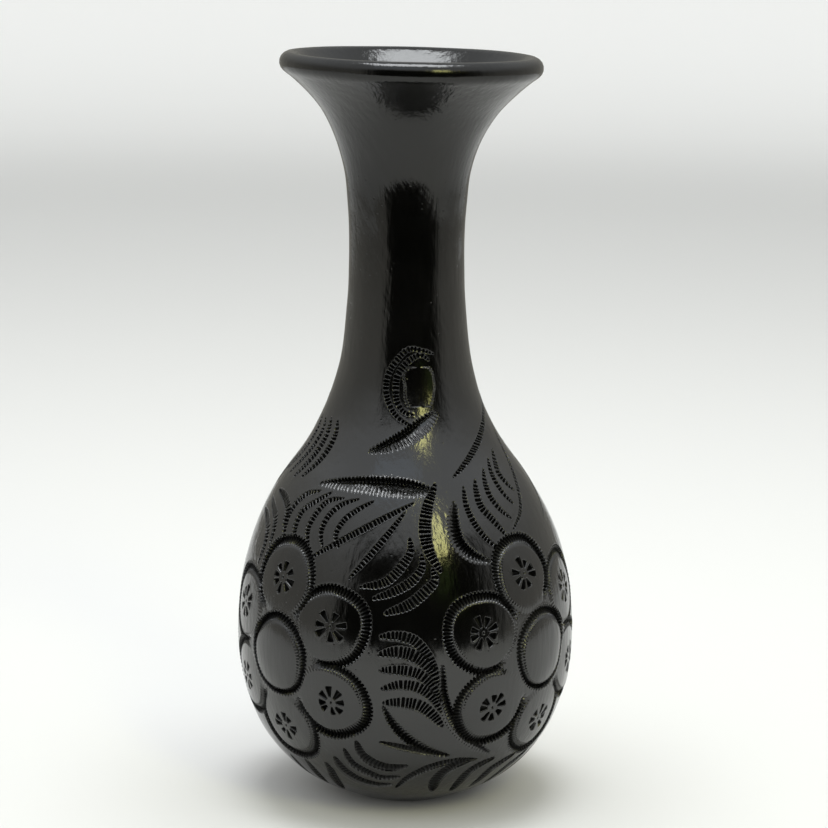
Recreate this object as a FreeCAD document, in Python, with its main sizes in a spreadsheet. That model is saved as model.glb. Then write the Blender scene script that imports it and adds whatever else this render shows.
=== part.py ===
import FreeCAD, Part
import math
import os
import re

import Sketcher

# A burnished black clay bottle vase: round belly, slim neck, flared mouth with a rolled lip.
# It is one fired vessel, luted together from clay members on bevelled joints, and each member is a
# body of its own, turned once round the vessel's axis from a section in the XZ plane.
# Frame: millimetres, +Z up the axis, origin at the centre of the face that the vessel stands on.

# Driving dimensions: lengths in millimetres, angles in degrees.
# A "curve" is the radius of one of the section's tangent arcs, named from the foot up. An angle is
# the outline's lean from upright where one arc hands over to the next.
SIZES = {
    "belly_radius": 41.0,
    "belly_height": 41.0,
    "belly_curve": 55.2,
    "haunch_angle": 20.7,
    "haunch_curve": 33.9,
    "under_angle": 66.0,
    "shoulder_curve": 68.6,
    "shoulder_angle": 37.8,
    "hollow_curve": 56.3,
    "hollow_angle": 6.1,
    "neck_low_curve": 223.5,
    "neck_high_curve": 131.0,
    "neck_angle": 6.0,
    "flare_curve": 38.0,
    "rim_joint_angle": 42.0,
    "flare_angle": 54.2,
    "lip_round": 2.25,
    "wall": 4.5,
    "bore_radius": 10.0,
    "floor_top": 5.5,
    "slab_edge": 1.2,
    "scarf_angle": 6.0,
}

# The rest of the section, worked out from the dimensions. A pair of formulas is a point's radius
# and height, and a single formula is the radius of an arc. Later rows build on earlier ones.
SECTION = {
    # outside, below the belly line: belly arc, haunch arc, then a straight underside to the foot
    "belly": ("belly_radius", "belly_height"),
    "haunch": ("belly_radius - belly_curve * (1 - cos(haunch_angle))",
               "belly_height - belly_curve * sin(haunch_angle)"),
    "under": ("haunch_r - haunch_curve * (cos(haunch_angle) - cos(under_angle))",
              "haunch_z - haunch_curve * (sin(under_angle) - sin(haunch_angle))"),
    "foot": ("under_r - under_z * tan(under_angle)", "0"),
    "slab": ("foot_r + slab_edge * tan(under_angle)", "slab_edge"),
    # outside, above it: shoulder arc, hollow arc, two long neck arcs, flare arc, rolled lip
    "shoulder": ("belly_radius - shoulder_curve * (1 - cos(shoulder_angle))",
                 "belly_height + shoulder_curve * sin(shoulder_angle)"),
    "neck_foot": ("shoulder_r - hollow_curve * (cos(hollow_angle) - cos(shoulder_angle))",
                  "shoulder_z + hollow_curve * (sin(shoulder_angle) - sin(hollow_angle))"),
    "waist": ("neck_foot_r - neck_low_curve * (1 - cos(hollow_angle))",
              "neck_foot_z + neck_low_curve * sin(hollow_angle)"),
    "neck_head": ("waist_r + neck_high_curve * (1 - cos(neck_angle))",
                  "waist_z + neck_high_curve * sin(neck_angle)"),
    "coil": ("neck_head_r + flare_curve * (cos(neck_angle) - cos(rim_joint_angle))",
             "neck_head_z + flare_curve * (sin(rim_joint_angle) - sin(neck_angle))"),
    "lip_out": ("neck_head_r + flare_curve * (cos(neck_angle) - cos(flare_angle))",
                "neck_head_z + flare_curve * (sin(flare_angle) - sin(neck_angle))"),
    "lip_tip": ("lip_out_r + lip_round * (sin(flare_angle) - cos(flare_angle))",
                "lip_out_z + lip_round * (sin(flare_angle) + cos(flare_angle))"),
    "lip_in": ("lip_out_r - 2 * lip_round * cos(flare_angle)",
               "lip_out_z + 2 * lip_round * sin(flare_angle)"),
    # inside, below the belly line: the same arcs, thinner by the wall
    "in_belly_curve": "belly_curve - wall",
    "in_haunch_curve": "haunch_curve - wall",
    "in_belly": ("belly_radius - wall", "belly_height"),
    "in_scarf": ("in_belly_r - in_belly_curve * (1 - cos(scarf_angle))",
                 "belly_height - in_belly_curve * sin(scarf_angle)"),
    "in_haunch": ("haunch_r - wall * cos(haunch_angle)", "haunch_z + wall * sin(haunch_angle)"),
    "in_under": ("under_r - wall * cos(under_angle)", "under_z + wall * sin(under_angle)"),
    "in_floor": ("in_under_r - (in_under_z - floor_top) * tan(under_angle)", "floor_top"),
    # inside, above it: the shoulder's arc, then one arc from each end into the parallel bore
    "in_shoulder_curve": "shoulder_curve - wall",
    "in_shoulder": ("shoulder_r - wall * cos(shoulder_angle)",
                    "shoulder_z - wall * sin(shoulder_angle)"),
    "in_hollow_curve": "(in_shoulder_r - bore_radius) / (1 - cos(shoulder_angle))",
    "bore_foot": ("bore_radius", "in_shoulder_z + in_hollow_curve * sin(shoulder_angle)"),
    "in_flare_curve": "(lip_in_r - bore_radius) / (1 - cos(flare_angle))",
    "bore_head": ("bore_radius", "lip_in_z - in_flare_curve * sin(flare_angle)"),
    "in_coil": ("bore_radius + in_flare_curve * (1 - cos(rim_joint_angle + scarf_angle))",
                "bore_head_z + in_flare_curve * sin(rim_joint_angle + scarf_angle)"),
}

# The clay members from the foot up. Each is a closed section: a list of (point, edge), where the
# edge runs on from that point to the next one. An edge is "line", or an arc given by the side it
# bulges to, seen along the way it runs, and its radius.
MEMBERS = {
    # flat slab that the vessel stands on, with the wall luted round its leaning edge
    "base_disc": [
        ("axis_at_foot", "line"),
        ("foot", "line"),
        ("slab", "line"),
        ("in_floor", "line"),
        ("axis_at_floor", "line"),
    ],
    # bowl from the slab up to the belly line, its rim scarfed down towards the inside
    "lower_body": [
        ("slab", "line"),
        ("under", ("right", "haunch_curve")),
        ("haunch", ("right", "belly_curve")),
        ("belly", "line"),
        ("in_scarf", ("left", "in_belly_curve")),
        ("in_haunch", ("left", "in_haunch_curve")),
        ("in_under", "line"),
        ("in_floor", "line"),
    ],
    # shoulder from the belly line in to the neck, feathered to a collar inside the neck tube
    "upper_body": [
        ("belly", ("right", "shoulder_curve")),
        ("shoulder", ("left", "hollow_curve")),
        ("neck_foot", "line"),
        ("bore_foot", ("right", "in_hollow_curve")),
        ("in_shoulder", ("left", "in_shoulder_curve")),
        ("in_belly", ("left", "in_belly_curve")),
        ("in_scarf", "line"),
    ],
    # slim tube with a waist outside and a parallel bore inside
    "neck_tube": [
        ("neck_foot", ("left", "neck_low_curve")),
        ("waist", ("left", "neck_high_curve")),
        ("neck_head", "line"),
        ("bore_head", "line"),
        ("bore_foot", "line"),
    ],
    # trumpet from the neck out to the rim coil
    "mouth_flare": [
        ("neck_head", ("left", "flare_curve")),
        ("coil", "line"),
        ("in_coil", ("right", "in_flare_curve")),
        ("bore_head", "line"),
    ],
    # coil worked onto the trumpet's edge and rolled over to a round lip
    "rim_coil": [
        ("coil", ("left", "flare_curve")),
        ("lip_out", ("right", "lip_round")),
        ("lip_tip", ("right", "lip_round")),
        ("lip_in", ("right", "in_flare_curve")),
        ("in_coil", "line"),
    ],
}

# Points on the vessel's axis, with the height that each one stands at.
AXIS_POINTS = {"axis_at_foot": "foot_z", "axis_at_floor": "floor_top"}

START, END = 1, 2
X_AXIS, Y_AXIS = -1, -2

doc = FreeCAD.newDocument("bottle_vase")
sizes = doc.addObject("Spreadsheet::Sheet", "Sizes")
section = doc.addObject("Spreadsheet::Sheet", "Section")


def fill_sheet(sheet, rows):
    """Write each name and its content into a row of the sheet, with the name as alias."""
    for row, (name, content) in enumerate(rows, start=1):
        sheet.set(f"A{row}", name)
        sheet.set(f"B{row}", content)
        sheet.setAlias(f"B{row}", name)
    doc.recompute()


def source(name):
    """The expression that reads a driving dimension or a derived number."""
    return f"Sizes.{name}" if name in SIZES else f"Section.{name}"


def value(name):
    """The number behind a driving dimension or a derived one."""
    sheet = sizes if name in SIZES else section
    return float(sheet.get(name))


def cell_formula(formula):
    """A formula of the section sheet, with the driving dimensions read from their own sheet."""
    return "=" + re.sub(r"[a-z_]+", lambda word: f"Sizes.{word[0]}" if word[0] in SIZES else word[0],
                        formula)


def section_rows():
    """The derived numbers in order, a point giving two rows and an arc's radius one."""
    for name, formulas in SECTION.items():
        if isinstance(formulas, str):
            yield name, cell_formula(formulas)
            continue
        radius, height = formulas
        yield f"{name}_r", cell_formula(radius)
        yield f"{name}_z", cell_formula(height)


def place(point):
    """Where a named point of the section lies in the sketch's plane."""
    if point in AXIS_POINTS:
        return FreeCAD.Vector(0, value(AXIS_POINTS[point]), 0)
    return FreeCAD.Vector(value(f"{point}_r"), value(f"{point}_z"), 0)


def arc_between(start, end, side, radius):
    """The shorter arc from start to end that bulges to that side of the way it runs."""
    chord = end - start
    rightward = FreeCAD.Vector(chord.y, -chord.x, 0) / chord.Length
    rise = radius - math.sqrt(radius ** 2 - (chord.Length / 2) ** 2)
    middle = (start + end) / 2 + rightward * (rise if side == "right" else -rise)
    return Part.Arc(start, middle, end)


def draw_edges(sketch, steps):
    """Draw the section's edges, each ending where the next begins, and return their numbers."""
    corners = [place(point) for point, edge in steps]
    ends = corners[1:] + corners[:1]
    edges = []
    for (point, edge), start, end in zip(steps, corners, ends):
        if edge == "line":
            edges.append(sketch.addGeometry(Part.LineSegment(start, end)))
        else:
            side, radius = edge
            edges.append(sketch.addGeometry(arc_between(start, end, side, value(radius))))
    return edges


def tie(sketch, name, *constraint):
    """Add a constraint whose size is read from the sheets."""
    index = sketch.addConstraint(Sketcher.Constraint(*constraint, value(name)))
    sketch.setExpression(f"Constraints[{index}]", source(name))


def vertex_at(sketch, edge, corner):
    """Which end of an edge lies at a corner, since the sketch may store an arc the other way."""
    gaps = {vertex: (sketch.getPoint(edge, vertex) - corner).Length for vertex in (START, END)}
    return min(gaps, key=gaps.get)


def tie_corner(sketch, edge, vertex, point):
    """Hold a vertex at its named point. One on an axis of the sketch is held on that axis."""
    if point in AXIS_POINTS:
        sketch.addConstraint(Sketcher.Constraint("PointOnObject", edge, vertex, Y_AXIS))
    else:
        tie(sketch, f"{point}_r", "DistanceX", X_AXIS, START, edge, vertex)
    if place(point).y == 0:
        sketch.addConstraint(Sketcher.Constraint("PointOnObject", edge, vertex, X_AXIS))
    else:
        height = AXIS_POINTS.get(point, f"{point}_z")
        tie(sketch, height, "DistanceY", X_AXIS, START, edge, vertex)


def tie_edges(sketch, steps, edges):
    """Join the edges end to end, hold every corner at its point and every arc at its radius."""
    for (point, shape), edge, previous in zip(steps, edges, edges[-1:] + edges[:-1]):
        vertex = vertex_at(sketch, edge, place(point))
        last_vertex = vertex_at(sketch, previous, place(point))
        sketch.addConstraint(
            Sketcher.Constraint("Coincident", previous, last_vertex, edge, vertex))
        tie_corner(sketch, edge, vertex, point)
        if shape != "line":
            tie(sketch, shape[1], "Radius", edge)


def turned_member(label, steps):
    """One clay member: its section in the XZ plane, turned a full circle round the axis."""
    body = doc.addObject("PartDesign::Body", label)
    body.Label = label
    plane = next(part for part in body.Origin.OriginFeatures if part.Role == "XZ_Plane")
    sketch = body.newObject("Sketcher::SketchObject", f"{label}_section")
    sketch.AttachmentSupport = [(plane, "")]
    sketch.MapMode = "FlatFace"
    edges = draw_edges(sketch, steps)
    tie_edges(sketch, steps, edges)
    turn = body.newObject("PartDesign::Revolution", f"{label}_turn")
    turn.Profile = sketch
    turn.ReferenceAxis = (sketch, ["V_Axis"])
    turn.Angle = 360
    body.Tip = turn
    body.Placement = FreeCAD.Placement()
    return body


def check(bodies):
    """Stop if any object failed to recompute or any member isn't one valid solid."""
    for item in doc.Objects:
        if {"Invalid", "Error"} & set(item.State):
            raise RuntimeError(f"{item.Name} did not recompute: {item.State}")
    for body in bodies:
        shape = body.Shape
        if shape.isNull() or not shape.isValid() or len(shape.Solids) != 1:
            raise RuntimeError(f"{body.Label} is not one valid solid")


fill_sheet(sizes, [(name, str(size)) for name, size in SIZES.items()])
fill_sheet(section, section_rows())
members = [turned_member(label, steps) for label, steps in MEMBERS.items()]
doc.recompute()
check(members)

os.makedirs("parts", exist_ok=True)
for member in members:
    box = member.Shape.optimalBoundingBox()
    print(f"{member.Label}: {member.Shape.Volume / 1000:.2f} cm3, "
          f"z {box.ZMin:.2f} to {box.ZMax:.2f} mm, radius {box.XMax:.2f} mm")
    member.Shape.exportStep(f"parts/{member.Label}.step")
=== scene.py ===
import math

import bpy
import numpy as np
from mathutils import Matrix, Vector


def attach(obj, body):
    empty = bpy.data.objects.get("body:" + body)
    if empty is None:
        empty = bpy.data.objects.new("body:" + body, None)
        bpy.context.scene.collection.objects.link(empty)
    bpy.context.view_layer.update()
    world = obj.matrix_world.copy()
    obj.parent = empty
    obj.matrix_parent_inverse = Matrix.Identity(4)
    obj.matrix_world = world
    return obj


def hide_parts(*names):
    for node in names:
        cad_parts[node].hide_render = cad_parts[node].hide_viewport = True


# A burnished black clay bottle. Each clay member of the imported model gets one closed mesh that
# follows its section, carved with flowers and leaves, and one clay material for all of them.
# An azimuth is in degrees, 0 towards the camera and growing to the right; a height is in mm.

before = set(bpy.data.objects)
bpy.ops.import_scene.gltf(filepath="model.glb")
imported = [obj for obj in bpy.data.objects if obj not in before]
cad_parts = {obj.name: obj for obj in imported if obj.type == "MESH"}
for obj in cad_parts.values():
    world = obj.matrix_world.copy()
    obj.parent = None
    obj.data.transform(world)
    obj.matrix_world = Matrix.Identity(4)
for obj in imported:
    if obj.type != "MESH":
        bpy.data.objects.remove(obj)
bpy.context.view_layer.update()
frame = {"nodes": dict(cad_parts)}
MM = 0.001
rng = np.random.default_rng(7)


# ---- the section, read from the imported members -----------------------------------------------

def ring_edges(node):
    """The pairs of (radius, height) rings, in micrometres, that the edges of a member's mesh join."""
    mesh = node.data
    places = np.empty(3 * len(mesh.vertices))
    mesh.vertices.foreach_get("co", places)
    places = places.reshape(-1, 3)
    rings = np.round(np.c_[np.hypot(places[:, 0], places[:, 1]), places[:, 2]] * 1e6).astype(int)
    ends = np.empty(2 * len(mesh.edges), int)
    mesh.edges.foreach_get("vertices", ends)
    pairs = set()
    for a, b in rings[ends].reshape(-1, 2, 2):
        if tuple(a) != tuple(b):
            pairs.add(frozenset((tuple(a), tuple(b))))
    return pairs


def apart(pair):
    """How far apart two rings are."""
    return np.hypot(*(pair[1] - pair[0]))


def joint_lines(edges):
    """The two end rings of each joint face: the rings farthest apart of those two members share."""
    rings = {name: set().union(*pairs) for name, pairs in edges.items()}
    names = sorted(rings)
    lines = []
    for i, first in enumerate(names):
        for second in names[i + 1:]:
            shared = [np.array(ring) for ring in rings[first] & rings[second]]
            if len(shared) > 1:
                lines.append(max(((a, b) for a in shared for b in shared), key=apart))
    return lines


def lies_on(pair, line, slack=20.0):
    """True if both rings of an edge lie within the slack, in micrometres, of a joint line."""
    start, end = line
    along = (end - start) / np.hypot(*(end - start))
    across = np.array([-along[1], along[0]])
    reach = np.hypot(*(end - start)) + slack
    for ring in pair:
        offset = np.array(ring) - start
        if abs(offset @ across) > slack or not -slack < offset @ along < reach:
            return False
    return True


def walk_section(nodes):
    """The bare surface of the vessel as one line of rings, from the foot over the lip to the floor
    inside, and the member that each stretch belongs to. Joint faces are left out."""
    edges = {name: ring_edges(node) for name, node in nodes.items()}
    joints = joint_lines(edges)
    neighbours = {}
    for name, pairs in edges.items():
        for pair in pairs:
            if not any(lies_on(pair, joint) for joint in joints):
                a, b = pair
                neighbours.setdefault(a, []).append((b, name))
                neighbours.setdefault(b, []).append((a, name))
    line = [max(ring for ring in neighbours if ring[1] == 0)]
    stretch = []
    seen = set(line)
    while True:
        onward = [(ring, name) for ring, name in neighbours[line[-1]] if ring not in seen]
        if not onward:
            break
        here = np.array(line[-1])
        onward.sort(key=lambda step: np.hypot(*(np.array(step[0]) - here)))
        line.append(onward[0][0])
        stretch.append(onward[0][1])
        seen.add(onward[0][0])
    return np.array(line) / 1000.0, stretch


def smooth_line(points, step):
    """Points about every step along a smooth line through the given ones, and their tangents."""
    reach = np.r_[0.0, np.cumsum(np.hypot(*np.diff(points, axis=0).T))]
    slope = np.gradient(points, reach, axis=0)
    at = np.linspace(0.0, reach[-1], max(2, round(reach[-1] / step) + 1))
    k = np.clip(np.searchsorted(reach, at, "right") - 1, 0, len(reach) - 2)
    span = (reach[k + 1] - reach[k])[:, None]
    t = (at - reach[k])[:, None] / span
    start, end = points[k], points[k + 1]
    out, into = slope[k] * span, slope[k + 1] * span
    line = start + t * out + t**2 * (3 * (end - start) - 2 * out - into)
    line = line + t**3 * (2 * (start - end) + out + into)
    tangent = np.gradient(line, at, axis=0)
    return at, line, tangent / np.hypot(*tangent.T)[:, None]


class Section:
    """The vessel's section as a function of the distance along it, from the foot over the lip."""

    def __init__(self, nodes):
        rings, owner = walk_section(nodes)
        self.at, line, tangent = smooth_line(rings, 0.05)
        self.radius, self.height = line.T
        self.normal = np.c_[tangent[:, 1], -tangent[:, 0]]
        reach = np.r_[0.0, np.cumsum(np.hypot(*np.diff(rings, axis=0).T))]
        self.runs = {}
        for i, name in enumerate(owner):
            if i == 0 or owner[i - 1] != name:
                self.runs.setdefault(name, []).append([reach[i], reach[i]])
            self.runs[name][-1][1] = reach[i + 1]
        self.top = self.at[np.argmax(self.height)]
        self.outside = self.at <= self.top

    def radius_at(self, along):
        return np.interp(along, self.at, self.radius)

    def height_at(self, along):
        return np.interp(along, self.at, self.height)

    def normal_at(self, along):
        return np.stack([np.interp(along, self.at, self.normal[:, k]) for k in (0, 1)], -1)

    def along_at(self, height):
        """The distance along the outside at a height."""
        return np.interp(height, self.height[self.outside], self.at[self.outside])


section = Section(frame["nodes"])


# ---- the carving -----------------------------------------------------------------------------

COLUMNS = 1602        # around the belly, about 0.16 mm apart
ROW_STEP = 0.17       # mm
CARVED_TOP = 114.0    # mm, the highest carving is the curl on the neck
TICK = 0.92           # mm between the comb marks in a cut
WALL = 0.45           # mm, how wide a cut's steep side is
SERRATION = 0.45      # mm, how far the comb marks bite into a cut's steep side
PETALS = 6            # in a flower
PETAL_RADIUS = 9.3    # mm
DOME_RADIUS = 9.4     # mm


class Relief:
    """How far the clay stands out of or lies under the smooth outside, on a grid of rows along the
    section and columns around it, and the clay's rawness there: 0 burnished, 1 freshly cut. The
    rawness also turns down the clay's reflection in the cuts, which is painted shade."""

    def __init__(self):
        self.rows = np.arange(0.0, section.along_at(CARVED_TOP) + 1.5, ROW_STEP)
        self.radius = section.radius_at(self.rows)
        self.pitch = 360.0 / COLUMNS
        self.lift = np.zeros((len(self.rows), COLUMNS))
        self.raw_and_painted_shade = np.zeros((len(self.rows), COLUMNS))

    def window(self, azimuths, alongs, margin):
        """The part of the grid within a margin, in mm, of some places: its index, and the azimuth
        of its columns and the distance along of its rows."""
        low = max(0, int((min(alongs) - margin) / ROW_STEP))
        high = min(len(self.rows), int((max(alongs) + margin) / ROW_STEP) + 2)
        side = math.degrees(margin / self.radius[low:high].min())
        first = math.floor((min(azimuths) - side + 180.0) / self.pitch)
        last = math.ceil((max(azimuths) + side + 180.0) / self.pitch)
        columns = np.arange(first, last + 1)
        where = np.ix_(np.arange(low, high), columns % COLUMNS)
        return where, columns * self.pitch - 180.0, self.rows[low:high], self.radius[low:high]

    def press(self, where, lift, raw_and_painted_shade):
        """Cuts into what is there: the deeper of the two stays."""
        there = self.lift[where]
        self.lift[where] = np.where(lift < 0, np.minimum(there, lift), there)
        self.raw_and_painted_shade[where] = np.maximum(self.raw_and_painted_shade[where], raw_and_painted_shade)

    def follow(self, path, margin):
        """For the grid near a path of (azimuth, height) points: the distance gone along the path,
        the distance to its left, the path's length and the part of the grid."""
        azimuth, height = np.array(path, float).T
        along = section.along_at(height)
        scale = math.radians(section.radius_at(along).mean())
        _, line, _ = smooth_line(np.c_[azimuth * scale, along], 0.3)
        azimuth, along = line[:, 0] / scale, line[:, 1]
        radius = section.radius_at(along)
        step = np.c_[np.radians(np.gradient(azimuth)) * radius, np.gradient(along)]
        size = np.hypot(*step.T)
        tangent = step / size[:, None]
        gone = np.r_[0.0, np.cumsum((size[1:] + size[:-1]) / 2)]
        where, columns, rows, radii = self.window(azimuth, along, margin)
        across = np.radians(columns[None, None, :] - azimuth[:, None, None]) * radii[None, :, None]
        up = rows[None, :, None] - along[:, None, None]
        near = np.argmin(across**2 + up**2, axis=0)[None]
        across = np.take_along_axis(across, near, 0)[0]
        up = np.take_along_axis(np.broadcast_to(up, (len(along), len(rows), len(columns))), near, 0)[0]
        tx, ty = tangent[near[0], 0], tangent[near[0], 1]
        return gone[near[0]] + across * tx + up * ty, up * tx - across * ty, gone[-1], where

    def sharpen(self, amount, blur):
        """Pushes up a thin burr beside each cut, as a tool leaves in leather-hard clay."""
        spread = self.lift
        reach = round(blur / ROW_STEP)
        for axis in (0, 1):
            kernel = [math.exp(-0.5 * (k / reach) ** 2) for k in range(-2 * reach, 2 * reach + 1)]
            spread = sum(
                weight * np.roll(spread, k - 2 * reach, axis) for k, weight in enumerate(kernel)
            ) / sum(kernel)
        self.lift = self.lift + amount * (self.lift - spread)


def smooth_step(x):
    x = np.clip(x, 0.0, 1.0)
    return x * x * (3.0 - 2.0 * x)


def notches(phase):
    """1 in the middle of a comb mark and 0 between marks, for a phase in radians."""
    return smooth_step((np.cos(phase) + 0.55) / 1.2)


def comb(gone):
    """The marks of a notched tool along a cut, unevenly spaced by the hand's drift."""
    drift = 0.12 * np.sin(gone * 1.7 + rng.uniform(0, 6)) + rng.uniform(0, TICK)
    return notches(2.0 * math.pi * (gone + drift) / TICK)


def ladder(relief, path, width, depth=0.8, lean=0.0, between=0.15):
    """A row of short cross cuts, wide in the middle of the row and narrow at its ends. between is
    how deep the clay between two cuts lies, as a share of their depth."""
    gone, left, length, where = relief.follow(path, width)
    share = np.clip(gone / length, 0.0, 1.0)
    half = 0.5 * width * np.sin(math.pi * share) ** 0.45 + 1e-6
    body = np.clip(1.0 - (left / half) ** 2, 0.0, 1.0) * ((gone > 0) & (gone < length))
    mark = comb(gone + lean * left)
    cut = between + (1.0 - between) * mark
    relief.press(where, -depth * body**0.4 * cut, body**0.3 * np.maximum(cut, 0.2))


def band(relief, path, width, depth=1.0, steep=1, swell=0.5, polished=False):
    """A broad gouge with a steep serrated side and a gentle combed slope. steep is 1 where the
    steep side is to the left of the path and -1 where it is to the right. swell is where along
    the path the gouge is widest, and polished says that its slope was burnished."""
    gone, left, length, where = relief.follow(path, width)
    share = np.clip(gone / length, 0.0, 1.0)
    shape = np.where(share < swell, share / swell, (1.0 - share) / (1.0 - swell))
    grown = np.sin(0.5 * math.pi * shape) ** 0.6
    half = 0.5 * width * grown + 1e-6
    mark = comb(gone)
    edge = half - steep * left + SERRATION * (mark - 0.5)
    slope = np.clip(1.0 - edge / (2.0 * half), 0.0, 1.0) ** 1.2
    wall = np.clip(1.0 + edge / WALL, 0.0, 1.0)
    inside = (gone > 0) & (gone < length) & (edge < 2.0 * half)
    combed = mark * np.clip(2.2 * slope, 0.0, 1.0) * (edge > -0.1)
    marks_deep = 0.22 if polished else 0.5
    marks_raw_and_painted_shade = 0.2 if polished else 1.0
    lift = -depth * grown * np.where(edge >= 0, slope, wall) - marks_deep * combed * grown
    bed = 0.0 if polished else smooth_step((slope - 0.45) / 0.4)
    raw_and_painted_shade = np.where(edge >= 0, np.maximum(combed * marks_raw_and_painted_shade, bed), wall)
    raw_and_painted_shade = raw_and_painted_shade * smooth_step(depth * grown / 0.2)
    relief.press(where, np.where(inside, lift, 0.0), np.where(inside, raw_and_painted_shade, 0.0))


def fan(cut, relief, first, last, count, width, **how):
    """Several cuts spaced evenly from the first path to the last."""
    first, last = np.array(first, float), np.array(last, float)
    for i in range(count):
        path = first + (last - first) * i / (count - 1)
        path = path + rng.uniform(-0.5, 0.5, path.shape)
        cut(relief, path, width * rng.uniform(0.85, 1.15), **how)


def raised(relief, azimuth, height, radius, stretch, turn, crown, depth, slope, closed=180.0,
           marks_deep=0.6, lean=(0.0, 0.0)):
    """A rounded field left standing inside a ring: a petal, a flower's dome or the bud. It covers
    what was carved there before. stretch makes it longer, or shorter if under 1, in the direction
    of turn, in degrees, and the ring fades out beyond the angle closed to either side of turn.
    lean is the field's slope along the wall and up it."""
    along = float(section.along_at(height))
    where, columns, rows, radii = relief.window([azimuth], [along], radius * stretch + 1.0)
    x = np.radians(columns - azimuth)[None, :] * radii[:, None]
    y = np.broadcast_to((rows - along)[:, None], x.shape)
    angle = np.arctan2(y, x) - math.radians(turn)
    angle = (angle + math.pi) % (2.0 * math.pi) - math.pi
    away = np.hypot(x, y)
    outline = radius * (1.0 + (stretch - 1.0) * np.cos(angle) ** 2)
    outline = outline + 0.15 * np.sin(3 * angle + rng.uniform(0, 6))
    outline = outline + 0.1 * np.sin(5 * angle + rng.uniform(0, 6))
    marks = round(2.0 * math.pi * radius / TICK)
    mark = notches(marks * angle + 1.3 * np.sin(2 * angle + rng.uniform(0, 6)))
    ring = smooth_step((math.radians(closed) + 0.25 - np.abs(angle)) / 0.5) if closed < 180.0 else 1.0
    edge = away - outline + SERRATION * (0.5 - mark)
    inner = np.clip(1.0 + edge / (slope * (0.8 + 0.3 * np.cos(angle))), 0.0, 1.0)
    wall = np.clip(1.0 - edge / WALL, 0.0, 1.0) * ring
    combed = mark * np.where(edge < 0, smooth_step(inner * 2.2), wall) * ring
    dome = crown * (1.0 - np.clip(away / outline, 0.0, 1.0) ** 3)
    dome = dome + (lean[0] * x + lean[1] * y) * (1.0 - inner)
    lift = np.where(edge < 0, dome - depth * ring * inner**1.3, -depth * wall) - marks_deep * combed
    bed = smooth_step((inner - 0.35) / 0.5) * ring
    raw_and_painted_shade = np.where(edge < 0, np.maximum(combed, bed), wall) * min(1.0, 2.0 * marks_deep)
    there = relief.lift[where]
    changed = (edge < 0) | ((wall > 0) & (lift < there))
    relief.lift[where] = np.where(changed, lift, there)
    relief.raw_and_painted_shade[where] = np.where(changed, raw_and_painted_shade, relief.raw_and_painted_shade[where])


def rosette(relief, azimuth, height, radius=3.9, spokes=7):
    """A star of wedge-shaped stabs around a small dot."""
    along = float(section.along_at(height))
    where, columns, rows, radii = relief.window([azimuth], [along], radius + 0.5)
    x = np.radians(columns - azimuth)[None, :] * radii[:, None]
    y = np.broadcast_to((rows - along)[:, None], x.shape)
    away = np.hypot(x, y)
    first = rng.uniform(0, 360)
    lift = -0.4 * np.clip(1.0 - away / 0.4, 0.0, 1.0)
    for k in range(spokes):
        turn = math.radians(first + 360.0 * k / spokes + rng.uniform(-9, 9))
        out = x * math.cos(turn) + y * math.sin(turn)
        side = np.abs(y * math.cos(turn) - x * math.sin(turn))
        reach = radius * rng.uniform(0.8, 1.08)
        heart = 1.25 + rng.uniform(0.0, 0.25)
        share = np.clip((out - heart) / (reach - heart), 0.0, 1.0)
        half = 0.34 + rng.uniform(0.45, 0.75) * share
        stab = smooth_step(1.6 * (1.0 - side / half)) * (out > heart) * smooth_step((reach - out) / 0.3)
        lift = np.minimum(lift, -(0.4 + 0.7 * share) * stab)
    relief.lift[where] += lift
    relief.raw_and_painted_shade[where] = np.maximum(relief.raw_and_painted_shade[where], smooth_step(-lift / 0.25))


def flower(relief, azimuth, height, first, out, shift, toward, tip):
    """A dome in a combed ring, with petals evenly spaced around it that tuck under it and each
    other. first is the first petal's direction, in degrees. All lie out mm from a middle that is
    shift mm beside the dome, and the petal in the direction toward leans by the slope tip."""
    centre = float(section.along_at(height))
    around = section.radius_at(centre)
    places = []
    for k in range(PETALS):
        angle = first - 360.0 * k / PETALS
        along = centre + out * math.sin(math.radians(angle))
        radius = 0.5 * (around + section.radius_at(along))
        side = math.degrees((shift + out * math.cos(math.radians(angle))) / radius)
        slant = tip * max(0.0, math.cos(math.radians(angle - toward))) ** 4 + rng.uniform(-0.02, 0.02)
        places.append((azimuth + side, float(section.height_at(along)), angle, slant))
    for side, up, angle, slant in places:
        raised(relief, side, up, PETAL_RADIUS * rng.uniform(0.97, 1.03), 1.03, angle, crown=0.15, depth=0.9,
               slope=2.5, closed=140.0, lean=(slant, rng.uniform(-0.04, 0.04)))
    for side, up, _, _ in places:
        rosette(relief, side, up, spokes=int(rng.integers(7, 9)))
    raised(relief, azimuth, height, DOME_RADIUS, 1.03, 80, crown=0.9, depth=1.0, slope=2.4)


def bent(start, end, bow=(0, 0)):
    """A bent stroke between two (azimuth, height) places. bow is how far its middle is pushed off
    the straight line, in degrees around and mm up."""
    start, end, bow = np.array(start, float), np.array(end, float), np.array(bow, float)
    return [start + (end - start) * t + 4.0 * t * (1.0 - t) * bow for t in np.linspace(0.0, 1.0, 5)]


def curl(middle, across, up, first, last):
    """Part of an oval about a place, across in degrees around and up in mm, between two angles."""
    angles = np.radians(np.linspace(first, last, 9))
    return [(middle[0] + across * math.cos(a), middle[1] + up * math.sin(a)) for a in angles]


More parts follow.
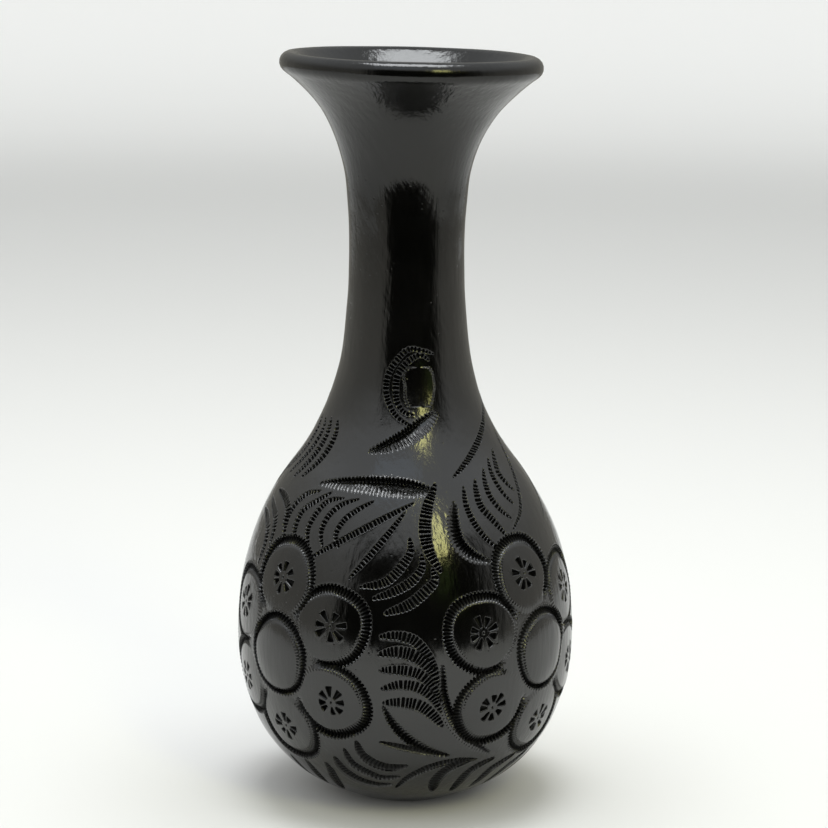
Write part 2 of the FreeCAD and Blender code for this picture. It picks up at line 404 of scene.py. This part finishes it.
def leaves(relief, turn):
    """One side's leaves: combed strokes in fans, hung from broad gouged edges."""

    def at(path):
        return [(azimuth + turn, height) for azimuth, height in path]

    def stroke(start, end, bow=(0, 0)):
        return at(bent(start, end, bow))

    # the bud in its double curl on the neck, and the gouge under it
    bud = (12, 103)
    raised(relief, bud[0] + turn, bud[1], 5.8, 0.60, 180, crown=0.0, depth=0.4, slope=0.8, closed=95.0,
           marks_deep=0.0, lean=(0.12, 0.0))
    fan(ladder, relief, at(curl(bud, 28, 9, 60, 255)), at(curl(bud, 20, 7, 60, 255)), 2, 1.6)
    band(relief, stroke((24, 97), (-22, 88), (0, -1)), 3.8, depth=1.5, steep=-1, swell=0.4, polished=True)
    # the strokes that fall from the left of the shoulder
    fan(ladder, relief, stroke((-54, 94), (-60, 80), (6, 1)), stroke((-80, 94), (-84, 80), (6, 1)), 4, 2.1)
    # the large leaf at the left: its level edge, its veins and its ribs
    band(relief, stroke((-45, 80), (14, 80), (0, 1)), 4.6, depth=1.5, steep=1, swell=0.7, polished=True)
    fan(ladder, relief, stroke((-42, 79), (-52, 65), (-8, 2)), stroke((-14, 78), (-26, 67), (-6, 1)), 5, 1.6)
    ladder(relief, stroke((4, 78), (-38, 64), (0, 1)), 1.6)
    ladder(relief, stroke((0, 76), (-20, 61), (1, 1)), 1.5)
    # the small leaf at the far left
    fan(ladder, relief, stroke((-75, 76), (-57, 70), (4, 2)), stroke((-82, 71), (-66, 60), (6, 2)), 3, 1.9)
    # the stem in the middle and the strokes that hang from it
    ladder(relief, stroke((15, 82), (13, 63), (-6, 0)), 2.8, depth=1.0)
    fan(ladder, relief, stroke((2, 71), (-16, 59), (6, -1)), stroke((10, 64), (-7, 54), (6, 0)), 3, 2.4)
    # the leaf at the right: its long upper edge, its outer strokes, its fan and its gouged edge
    ladder(relief, stroke((94, 99), (25, 83), (-2, 0)), 1.8, lean=0.6)
    fan(ladder, relief, stroke((84, 92), (48, 70), (0, -2)), stroke((98, 87), (74, 70), (2, -2)), 2, 1.6)
    fan(ladder, relief, stroke((62, 87), (60, 78), (-5, 0)), stroke((29, 81), (38, 67), (-5, 0)), 5, 1.7)
    band(relief, stroke((22, 78), (33, 64), (-7, -2)), 2.9, depth=1.0, steep=1)
    # the leaf between the flowers
    fan(ladder, relief, stroke((-9, 48), (11, 40), (2, 4)), stroke((-7, 32), (13, 26), (2, 3)), 5, 2.7)
    band(relief, stroke((12, 42), (35, 17), (-7, -3)), 2.7, depth=1.0, steep=1)
    band(relief, stroke((-7, 32), (18, 18), (-3, -2)), 2.6, depth=1.0, steep=-1)
    # the strokes around the foot
    ladder(relief, stroke((-9, 22), (17, 18)), 1.9, between=0.7)
    fan(ladder, relief, stroke((-18, 22), (2, 15), (-4, -3)), stroke((-28, 16), (-5, 9), (-4, -3)), 3, 3.0,
        between=0.7)
    ladder(relief, stroke((-4, 8), (30, 16), (-2, 3)), 2.2, between=0.6)
    fan(ladder, relief, stroke((28, 16), (15, 6), (-5, 2)), stroke((74, 14), (62, 5), (-2, 0)), 5, 3.0,
        between=0.7)
    fan(ladder, relief, stroke((-34, 14), (-38, 5), (2, 0)), stroke((-58, 13), (-60, 5), (1, 0)), 3, 2.8,
        between=0.7)


def carve():
    """The whole relief: leaves first, then the flowers over them, alike on both sides."""
    relief = Relief()
    for turn in (0.0, 180.0):
        leaves(relief, turn)
    for turn in (0.0, 180.0):
        flower(relief, turn - 48.0, 40.5, first=30.0, out=18.5, shift=0.0, toward=30.0, tip=-0.09)
        flower(relief, turn + 54.0, 42.0, first=40.0, out=19.0, shift=-1.5, toward=160.0, tip=0.07)
    relief.sharpen(0.25, 0.4)
    return relief


# ---- the hand's unevenness -------------------------------------------------------------------

SWELLS = (  # turns around the pot, wave length along the section in mm, and size in mm
    (1, 70, 0.10),
    (2, 45, 0.07),
    (3, 30, 0.05),
    (5, 22, 0.03),
    (8, 14, 0.018),
    (2, 9, 0.015),
)
RIM_TILT = math.radians(0.9)


def undulation(azimuth, along):
    """Slow swells left by coiling and scraping, in mm, that fade out towards the foot, and the
    lip's thickening."""
    local = np.random.default_rng(3)
    swell = 0.0
    for turns, wave, size in SWELLS:
        lag = local.uniform(0, 6.3, 2)
        swell = swell + size * np.sin(turns * azimuth + lag[0]) * np.sin(2 * math.pi * along / wave + lag[1])
    thick_rim = 0.3 * smooth_step((section.height_at(along) - 166.0) / 8.0)
    return swell * smooth_step((along - 4.0) / 10.0) + thick_rim


def lean(height):
    """How far the pot's middle wanders to the right with height, in mm."""
    return 0.5 * np.cos(math.pi * height / 138.0) + 0.45 * smooth_step((height - 145.0) / 32.0)


def azimuths(columns):
    """The azimuth of each column, in radians, from the back of the pot round to the back again."""
    return np.radians(np.arange(columns) * 360.0 / columns - 180.0)


def clay_surface(along, columns):
    """Points of the clay's surface, in mm, and its rawness, which also paints shade in the cuts, for rows
    along the section.
    """
    azimuth = azimuths(columns)[None, :]
    normal = section.normal_at(along)
    lift = undulation(azimuth, along[:, None]) * (along[:, None] < section.top + 20)
    raw_and_painted_shade = np.zeros((len(along), columns))
    carved = along < relief.rows[-1]
    if carved.any() and columns == COLUMNS:
        row = along[carved] / ROW_STEP
        below = np.minimum(row.astype(int), len(relief.rows) - 2)
        part = (row - below)[:, None]
        lift[carved] += relief.lift[below] * (1 - part) + relief.lift[below + 1] * part
        raw_and_painted_shade[carved] = relief.raw_and_painted_shade[below] * (1 - part) + relief.raw_and_painted_shade[below + 1] * part
    radius = section.radius_at(along)[:, None] + normal[:, :1] * lift
    height = section.height_at(along)[:, None] + normal[:, 1:] * lift
    x = radius * np.sin(azimuth)
    y = -radius * np.cos(azimuth)
    z = height - RIM_TILT * x * smooth_step((height - 150.0) / 26.0)
    return np.stack([x + lean(height), y, z], -1), raw_and_painted_shade


# ---- the clay members ------------------------------------------------------------------------

def run_rows(start, end, fine):
    """Rows along one run of a member, ends included."""
    carved = min(max(start, 0.0), relief.rows[-1]), min(end, relief.rows[-1])
    rows = [start, end]
    if fine and carved[1] > carved[0]:
        rows += list(np.arange(math.ceil(carved[0] / ROW_STEP) + 1, carved[1] / ROW_STEP - 1) * ROW_STEP)
        start = carved[1]
    if end - start > 1.0:
        rows += list(np.linspace(start, end, max(2, round((end - start) / 0.8)))[1:-1])
    return np.array(sorted(set(np.round(rows, 6))))


def run_surface(rows, columns):
    """Points, normals and rawness of one run; the rawness also paints shade in the cuts. The normals
    come from rows a little past both ends, so that they agree with the next member's."""
    padded = np.r_[rows[0] - 0.2, rows, rows[-1] + 0.2]
    points, raw_and_painted_shade = clay_surface(np.clip(padded, 0.0, section.at[-1]), columns)
    around = np.roll(points, -1, 1) - np.roll(points, 1, 1)
    onward = points[2:] - points[:-2]
    normals = np.cross(around[1:-1], onward)
    normals /= np.linalg.norm(normals, axis=-1, keepdims=True)
    return points[1:-1], normals, raw_and_painted_shade[1:-1]


DISC_RINGS = (5.0, 10.0)      # mm, rings within the base disc's underside and its floor


def disc_middles():
    """The middle of the base disc's underside and of its floor."""
    floor = section.height[-1]
    return np.array([[lean(0.0), 0.0, 0.0], [lean(floor), 0.0, floor]])


def add_disc_rings(points, normals, raw_and_painted_shade):
    """The base disc's outside and inside rings, with the rings of its underside before them and
    those of its floor after them."""
    columns = points.shape[1]
    azimuth = azimuths(columns)
    flat = np.stack([np.sin(azimuth), -np.cos(azimuth), np.zeros(columns)], -1)
    under_middle, floor_middle = disc_middles()
    under = [flat * radius + under_middle for radius in DISC_RINGS]
    above = [flat * radius + floor_middle for radius in DISC_RINGS[::-1]]
    down, up = np.zeros_like(flat) - (0, 0, 1), np.zeros_like(flat) + (0, 0, 1)
    bare = np.ones((len(DISC_RINGS), columns))
    points = np.concatenate([under, points, above])
    normals = np.concatenate([[down] * len(under), normals, [up] * len(above)])
    return points, normals, np.concatenate([bare, raw_and_painted_shade, bare])


def next_column(ring):
    return np.roll(ring, -1, -1)


def ring_quads(rows, columns, closed):
    """Quads that join each ring of points to the next, and the last to the first if closed."""
    index = np.arange(rows * columns).reshape(rows, columns)
    lower, upper = (index, np.roll(index, -1, 0)) if closed else (index[:-1], index[1:])
    return np.stack([lower, next_column(lower), next_column(upper), upper], -1).reshape(-1, 4)


def ring_uv(points, closed):
    """The quads' places in the texture: u goes around, and v follows the distance between the
    rings, of which it counts 2 mm at most."""
    columns = points.shape[1]
    reach = np.linalg.norm(np.diff(points[:, 0], axis=0), axis=-1)
    reach = np.minimum(np.r_[reach, np.linalg.norm(points[0, 0] - points[-1, 0])], 2.0)
    gone = np.r_[0.0, np.cumsum(reach)] / reach.sum()
    rings = len(points) if closed else len(points) - 1
    v = np.broadcast_to(gone[:rings, None], (rings, columns))
    v_next = np.broadcast_to(gone[1:rings + 1, None], (rings, columns))
    u = np.broadcast_to(np.arange(columns)[None] / columns, (rings, columns))
    u_next = u + 1.0 / columns
    corners = ((u, v), (u_next, v), (u_next, v_next), (u, v_next))
    return np.stack([np.stack(corner, -1) for corner in corners], -2).reshape(-1, 2)


def pole_fans(rows, columns):
    """Triangles from the first ring and from the last to two more points, their middles."""
    first = np.arange(columns)
    final = first + (rows - 1) * columns
    pole = np.full(columns, rows * columns)
    below = np.stack([pole, next_column(first), first], -1)
    over = np.stack([final, next_column(final), pole + 1], -1)
    return np.concatenate([below, over])


def pole_uv(columns):
    """The fans' places in the texture, along its lower edge and along its upper edge."""
    column = np.arange(columns)
    u = np.stack([column, column + 1, column + 0.5], -1) / columns
    edge = np.stack([u, np.zeros(u.shape)], -1)
    return np.concatenate([edge[:, [2, 1, 0]].reshape(-1, 2), (edge + (0, 1)).reshape(-1, 2)])


def clay_mesh(name, points, normals, raw_and_painted_shade, corners, starts, uv):
    """A smooth mesh from its parts, with the rawness, which also paints shade in the cuts, as an attribute of
    its points.
    """
    mesh = bpy.data.meshes.new(name + "_clay")
    mesh.vertices.add(len(points))
    mesh.vertices.foreach_set("co", (points * MM).reshape(-1))
    mesh.loops.add(len(corners))
    mesh.loops.foreach_set("vertex_index", corners)
    mesh.polygons.add(len(starts))
    mesh.polygons.foreach_set("loop_start", starts)
    mesh.update(calc_edges=True)
    layer = mesh.uv_layers.new(name="OFBake")
    layer.uv.foreach_set("vector", uv.reshape(-1))
    attribute = mesh.attributes.new("raw_and_painted_shade", "FLOAT", "POINT")
    attribute.data.foreach_set("value", raw_and_painted_shade)
    mesh.polygons.foreach_set("use_smooth", np.ones(len(starts), bool))
    mesh.normals_split_custom_set_from_vertices(normals)
    mesh.validate()
    return mesh


def member_mesh(name, columns, fine):
    """A closed mesh of one clay member: its outside run, its inside run and the joint faces that
    close the loop between them. The base disc is closed by its underside and its floor."""
    runs = [run_rows(start, end, fine) for start, end in section.runs[name]]
    parts = [run_surface(rows, columns) for rows in runs]
    points, normals, raw_and_painted_shade = [np.concatenate(kind) for kind in zip(*parts)]
    solid_disc = name == "base_disc"
    if solid_disc:
        points, normals, raw_and_painted_shade = add_disc_rings(points, normals, raw_and_painted_shade)
    rows = len(points)
    uv = ring_uv(points, closed=not solid_disc)
    quads = ring_quads(rows, columns, closed=not solid_disc)
    corners = quads.reshape(-1)
    starts = np.arange(len(quads)) * 4
    points, normals, raw_and_painted_shade = points.reshape(-1, 3), normals.reshape(-1, 3), raw_and_painted_shade.reshape(-1)
    if solid_disc:
        fans = pole_fans(rows, columns)
        starts = np.r_[starts, len(corners) + 3 * np.arange(len(fans))]
        corners = np.r_[corners, fans.reshape(-1)]
        points = np.concatenate([points, disc_middles()])
        normals = np.concatenate([normals, [[0, 0, -1], [0, 0, 1]]])
        raw_and_painted_shade = np.r_[raw_and_painted_shade, 1.0, 1.0]
        uv = np.concatenate([uv, pole_uv(columns)])
    return clay_mesh(name, points, normals, raw_and_painted_shade, corners, starts, uv)


# ---- the clay --------------------------------------------------------------------------------

def add_node(tree, kind, settings=(), **inputs):
    """A node with its settings, and its inputs given a value or the output of another node. An
    input's name is written with _ for a space, and a number n is written as in_n."""
    node = tree.nodes.new(kind)
    for name, value in dict(settings).items():
        setattr(node, name, value)
    for name, value in inputs.items():
        socket = node.inputs[int(name[3:])] if name.startswith("in_") else node.inputs[name.replace("_", " ")]
        if isinstance(value, bpy.types.NodeSocket):
            tree.links.new(value, socket)
        else:
            socket.default_value = value
    return node


def math_node(tree, operation, a, b=0.0):
    return add_node(tree, "ShaderNodeMath", {"operation": operation}, in_0=a, in_1=b).outputs[0]


def range_node(tree, value, low, high, to_low=0.0, to_high=1.0, kind="SMOOTHSTEP"):
    return add_node(tree, "ShaderNodeMapRange", {"interpolation_type": kind}, Value=value,
                    From_Min=low, From_Max=high, To_Min=to_low, To_Max=to_high).outputs[0]


def mix_colour(tree, share, first, second):
    """A colour between two, each of them fixed or the output of another node."""
    settings = {"data_type": "RGBA"}
    return add_node(tree, "ShaderNodeMix", settings, Factor=share, in_6=first, in_7=second).outputs[2]


def noise(tree, place, scale, detail, stretch=(1, 1, 1), tilt=0.0):
    """Noise, stretched along an axis and, if tilted, turned about the Y axis."""
    turned = add_node(tree, "ShaderNodeMapping", Vector=place, Rotation=(0.0, tilt, 0.0)).outputs[0]
    moved = add_node(tree, "ShaderNodeMapping", Vector=turned, Scale=stretch).outputs[0]
    return add_node(tree, "ShaderNodeTexNoise", Vector=moved, Scale=scale, Detail=detail).outputs[0]


PALE_CLAY = (0.0026, 0.0025, 0.0022, 1)
DARK_CLAY = (0.0007, 0.0007, 0.0006, 1)
CUT_CLAY = (0.0012, 0.0012, 0.0011, 1)


def clay_colour(tree, smoke, cut):
    """Black, a little paler in smoky patches, and even where it is cut."""
    return mix_colour(tree, cut, mix_colour(tree, smoke, DARK_CLAY, PALE_CLAY), CUT_CLAY)


def clay_roughness(tree, smoke, strokes, cut):
    smoky = math_node(tree, "MULTIPLY", smoke, 0.20)
    rubbed = math_node(tree, "ADD", math_node(tree, "MULTIPLY", strokes, 0.10), smoky)
    return math_node(tree, "ADD", rubbed, math_node(tree, "MULTIPLY", cut, 0.3))


def clay_bumps(tree, place, strokes):
    """The surface's fine unevenness, from broad to fine: waves, strokes of the burnishing stone
    up the wall, patches of slanting ones, grain and pits."""
    waves = noise(tree, place, 140.0, 2.0, stretch=(1.0, 1.0, 0.6))
    slanted = noise(tree, place, 620.0, 2.0, stretch=(1.0, 1.0, 0.10), tilt=0.55)
    patches = range_node(tree, noise(tree, place, 42.0, 1.0), 0.45, 0.62, 0.0, 0.4)
    grain = noise(tree, place, 3500.0, 2.0)
    cells = add_node(tree, "ShaderNodeTexVoronoi", Vector=place, Scale=420.0).outputs["Distance"]
    pits = range_node(tree, cells, 0.0, 0.16, 1.0, 0.0)
    layers = (  # strength, depth in metres, height, and whether it goes inwards
        (1.0, 0.00011, waves, False),
        (0.42, 0.0002, strokes, False),
        (patches, 0.00022, slanted, False),
        (0.10, 0.00006, grain, False),
        (0.35, 0.0001, pits, True),
    )
    below = {}
    for strength, depth, height, inwards in layers:
        bump = add_node(tree, "ShaderNodeBump", {"invert": inwards}, Strength=strength, Distance=depth,
                        Height=height, **below)
        below = {"Normal": bump.outputs[0]}
    return bump.outputs[0]


def clay_shine_and_painted_shade(tree, place, cut):
    """The belly is burnished harder than the neck, and a cut not at all. In a cut the reflection is also
    turned down to a fifth, which is painted shade for the dark inside of the cut.
    """
    level = add_node(tree, "ShaderNodeSeparateXYZ", Vector=place).outputs[2]
    burnish = range_node(tree, level, 0.098, 0.158, 0.74, 0.44)
    # painted shade: where the clay is cut its reflection drops to a fifth, which darkens the inside of the
    # cuts
    return math_node(tree, "MULTIPLY", burnish, range_node(tree, cut, 0.0, 1.0, 1.0, 0.2, "LINEAR"))


def clay_material():
    material = bpy.data.materials.new("burnished_black_clay")
    material.use_nodes = True
    tree = material.node_tree
    tree.nodes.clear()
    place = add_node(tree, "ShaderNodeTexCoord").outputs["Object"]
    raw_and_painted_shade = add_node(tree, "ShaderNodeAttribute", {"attribute_name": "raw_and_painted_shade"}).outputs["Fac"]
    # where the clay is cut: rougher, and its reflection is turned down below as painted shade
    cut = range_node(tree, raw_and_painted_shade, 0.15, 0.85)
    smoke = noise(tree, place, 55.0, 3.0)
    strokes = noise(tree, place, 900.0, 3.0, stretch=(1.0, 1.0, 0.12))
    shader = add_node(tree, "ShaderNodeBsdfPrincipled", IOR=1.52,
                      Base_Color=clay_colour(tree, smoke, cut),
                      Roughness=clay_roughness(tree, smoke, strokes, cut),
                      Specular_IOR_Level=clay_shine_and_painted_shade(tree, place, cut),
                      Normal=clay_bumps(tree, place, strokes))
    output = add_node(tree, "ShaderNodeOutputMaterial")
    tree.links.new(shader.outputs[0], output.inputs["Surface"])
    return material


relief = carve()
clay = clay_material()
BODY_MEMBERS = ("lower_body", "upper_body", "neck_tube")
for name in frame["nodes"]:
    fine = name in BODY_MEMBERS
    mesh = member_mesh(name, COLUMNS if fine else COLUMNS // 3, fine)
    mesh.materials.append(clay)
    piece = bpy.data.objects.new(name + "_clay", mesh)
    bpy.context.scene.collection.objects.link(piece)
    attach(piece, "root")
    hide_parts(name)


# ---- the table, the light and the camera -----------------------------------------------------

TABLE_LEFT, TABLE_RIGHT = -0.7, 0.7
TABLE_NEAR, TABLE_FAR = -0.33, 0.7


def stage_piece(name, places, faces, material):
    """A piece of the stage from its points and faces."""
    mesh = bpy.data.meshes.new(name)
    mesh.from_pydata(places, [], faces)
    mesh.materials.append(material)
    piece = bpy.data.objects.new(name, mesh)
    bpy.context.scene.collection.objects.link(piece)
    return piece


def table(material):
    near = [(TABLE_LEFT, TABLE_NEAR, 0.0), (TABLE_RIGHT, TABLE_NEAR, 0.0)]
    far = [(TABLE_RIGHT, TABLE_FAR, 0.0), (TABLE_LEFT, TABLE_FAR, 0.0)]
    stage_piece("table", near + far, [(0, 1, 2, 3)], material)


def table_material():
    material = bpy.data.materials.new("white_table")
    material.use_nodes = True
    shader = material.node_tree.nodes["Principled BSDF"]
    shader.inputs["Base Color"].default_value = (0.67, 0.665, 0.65, 1)
    shader.inputs["Roughness"].default_value = 0.9
    shader.inputs["Specular IOR Level"].default_value = 0.1
    return material


def backdrop(material):
    """A wide floor that curves up into a wall all round, so that no horizon shows. It lies just
    under the table, out of the gloss, and casts no shadow."""
    steps, sides, flat, wall, under = 24, 96, 1.6, 3.4, 0.0003
    rings = [(flat * k / 4, 0.0) for k in range(1, 5)]
    for k in range(1, steps + 1):
        turn = 0.5 * math.pi * k / steps
        rings.append((flat + (wall - flat) * math.sin(turn), (wall - flat) * (1.0 - math.cos(turn))))
    places = []
    for radius, height in rings:
        for j in range(sides):
            turn = 2 * math.pi * j / sides
            places.append((radius * math.cos(turn), radius * math.sin(turn), height - under))
    places.append((0.0, 0.0, -under))
    faces = [(len(places) - 1, j, (j + 1) % sides) for j in range(sides)]
    for i in range(len(rings) - 1):
        for j in range(sides):
            after = (j + 1) % sides
            faces.append((i * sides + j, (i + 1) * sides + j, (i + 1) * sides + after, i * sides + after))
    dish = stage_piece("backdrop", places, faces, material)
    dish.data.polygons.foreach_set("use_smooth", [True] * len(faces))
    dish.visible_glossy = False
    dish.visible_shadow = False


def backdrop_material():
    """The table's white, which glows faintly in the distance as a lit tent wall does."""
    material = table_material()
    material.name = "white_backdrop"
    tree = material.node_tree
    shader = tree.nodes["Principled BSDF"]
    place = add_node(tree, "ShaderNodeTexCoord").outputs["Object"]
    away = add_node(tree, "ShaderNodeVectorMath", {"operation": "LENGTH"}, in_0=place).outputs["Value"]
    tree.links.new(range_node(tree, away, 1.2, 2.2, 0.0, 0.31), shader.inputs["Emission Strength"])
    shader.inputs["Emission Color"].default_value = (0.99, 1.0, 0.99, 1)
    return material


table(table_material())
backdrop(backdrop_material())


GAP_LEFT = (-46, -32)     # degrees of azimuth over which the gap's left edge fades
GAP_RIGHT = (50, 76)
GAP_TOP = (26, 38)        # degrees of climb
WARM = (1.0, 0.975, 0.87, 1)
COOL = (0.955, 0.985, 1.0, 1)


def fade(tree, angle, ends, low, high):
    """A smooth change from low to high while an angle goes from one end to the other, in degrees."""
    return range_node(tree, angle, math.radians(ends[0]), math.radians(ends[1]), low, high)


def tent_light():
    """A white tent around the pot, open at the front where the camera looks in."""
    world = bpy.data.worlds.new("tent")
    bpy.context.scene.world = world
    world.use_nodes = True
    tree = world.node_tree
    tree.nodes.clear()
    way = add_node(tree, "ShaderNodeTexCoord").outputs["Generated"]
    parts = add_node(tree, "ShaderNodeSeparateXYZ", Vector=way)
    front = math_node(tree, "MULTIPLY", parts.outputs[1], -1.0)
    azimuth = math_node(tree, "ARCTAN2", parts.outputs[0], front)
    climb = math_node(tree, "ARCSINE", parts.outputs[2])
    between = math_node(tree, "MULTIPLY", fade(tree, azimuth, GAP_RIGHT, 1.0, 0.0),
                        fade(tree, azimuth, GAP_LEFT, 0.0, 1.0))
    gap = math_node(tree, "MULTIPLY", between, fade(tree, climb, GAP_TOP, 1.0, 0.0))
    # the tent is brighter above than below, and dimmer behind the pot
    behind = fade(tree, math_node(tree, "ABSOLUTE", azimuth), (105, 165), 1.0, 0.62)
    tent = math_node(tree, "MULTIPLY", fade(tree, climb, (8, 45), 0.50, 1.0), behind)
    light = math_node(tree, "MULTIPLY", tent, range_node(tree, gap, 0.0, 1.0, 1.0, 0.0, "LINEAR"))
    # the room is a little warmer than the light that falls in from above
    tint = mix_colour(tree, fade(tree, climb, (-8, 48), 0.0, 1.0), WARM, COOL)
    shade = add_node(tree, "ShaderNodeBackground", Color=tint, Strength=light)
    output = add_node(tree, "ShaderNodeOutputWorld")
    tree.links.new(shade.outputs[0], output.inputs["Surface"])


def soft_box(name, azimuth, climb, distance, width, height, power, colour, mirrored=True):
    """A rectangular light that faces the middle of the pot, and shows in the gloss if mirrored.
    Angles are in degrees, lengths in metres and power in watts."""
    data = bpy.data.lights.new(name, "AREA")
    data.shape = "RECTANGLE"
    data.size, data.size_y = width, height
    data.energy = power
    data.color = colour
    lamp = bpy.data.objects.new(name, data)
    bpy.context.scene.collection.objects.link(lamp)
    azimuth, climb = math.radians(azimuth), math.radians(climb)
    middle = Vector((0.0, 0.0, 0.08))
    level = math.cos(climb)
    away = Vector((math.sin(azimuth) * level, -math.cos(azimuth) * level, math.sin(climb)))
    lamp.location = middle + distance * away
    lamp.rotation_euler = (-away).to_track_quat("-Z", "Y").to_euler()
    lamp.visible_glossy = mirrored


tent_light()
soft_box("front_top", -13, 60, 0.8, 0.46, 0.24, 0.13, (0.55, 0.75, 1.0))
soft_box("right_window", 28, 37, 0.9, 0.14, 0.32, 1.1, (1.0, 0.97, 0.36))
soft_box("window_foot", 28, 18, 0.9, 0.14, 0.22, 0.018, (0.50, 0.80, 0.20))
soft_box("overhead", 180, 88, 0.8, 0.44, 0.38, 4.8, (0.95, 0.98, 1.0))
soft_box("roof", 180, 68, 1.0, 0.8, 0.6, 1.3, (1.0, 0.98, 0.96), mirrored=False)


CAMERA_PLACE = (0.0, -0.700, 0.2265)
CAMERA_AIM = (0.0018, 0.0, 0.0934)
CAMERA_ROLL = math.radians(0.75)
LENS = 127.8          # mm, on a sensor 36 mm wide


def aim_camera():
    """0.7 m in front of the pot and a little above it, looking down on its middle."""
    data = bpy.data.cameras.new("camera")
    data.sensor_width = 36.0
    data.lens = LENS
    camera = bpy.data.objects.new("camera", data)
    bpy.context.scene.collection.objects.link(camera)
    camera.location = CAMERA_PLACE
    aim = Vector(CAMERA_AIM) - camera.location
    roll = Matrix.Rotation(CAMERA_ROLL, 3, "Z")
    camera.rotation_euler = (aim.to_track_quat("-Z", "Y").to_matrix() @ roll).to_euler()
    bpy.context.scene.camera = camera


aim_camera()
bpy.context.scene.view_settings.view_transform = "Standard"
